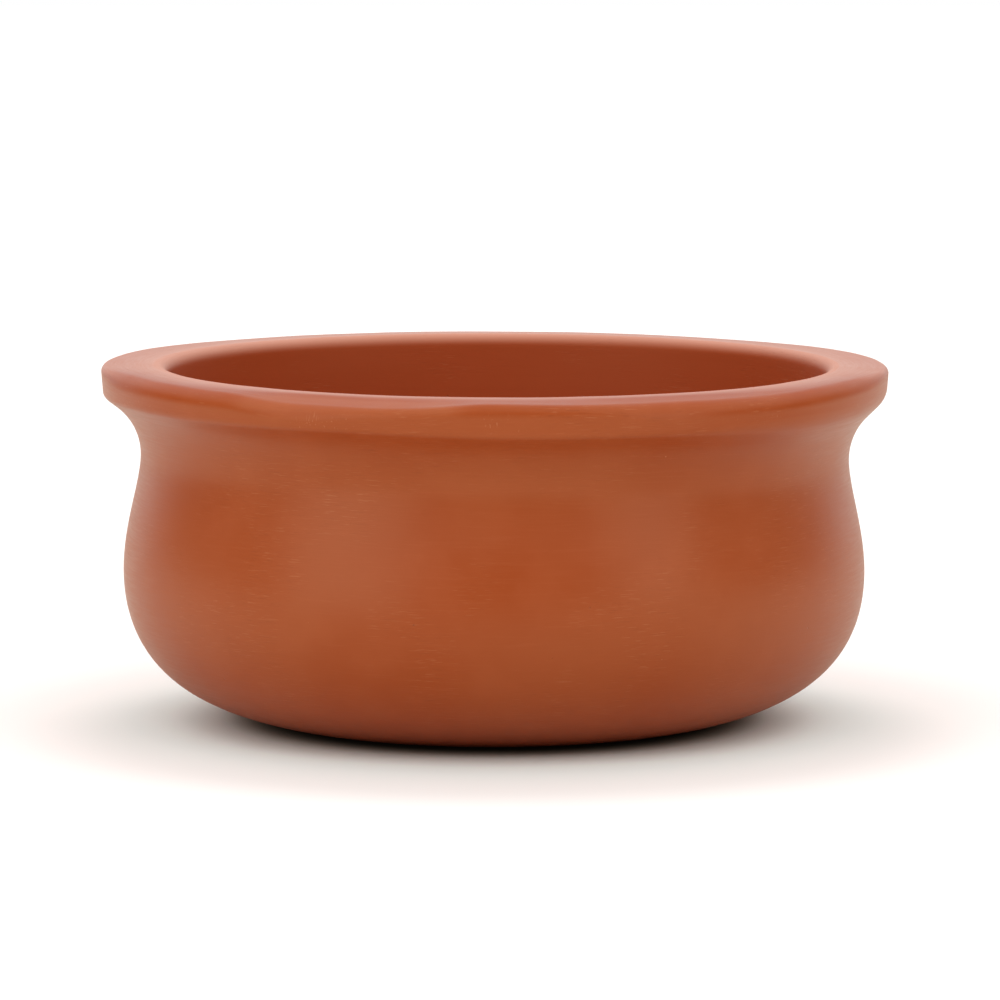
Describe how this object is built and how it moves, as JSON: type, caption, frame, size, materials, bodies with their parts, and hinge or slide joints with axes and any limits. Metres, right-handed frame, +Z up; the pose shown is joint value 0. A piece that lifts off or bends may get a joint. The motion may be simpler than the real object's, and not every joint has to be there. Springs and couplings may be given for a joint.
{
  "type": "clay biryani pot",
  "caption": "Round open clay cooking pot with a thick flat-topped lip, a narrow neck, a full belly and a flat foot, for slow-cooked rice and stews.",
  "frame": {"origin": "centre of the flat foot's underside", "axes": "+Z up along the pot's axis of revolution; +X to the right and +Y away from the viewer as the picture shows it"},
  "size_m": [0.2396, 0.2396, 0.1094],
  "materials": {
    "terracotta": "matte"
  },
  "bodies": {
    "root": {"clay_pot": "terracotta"}
  },
  "joints": []
}
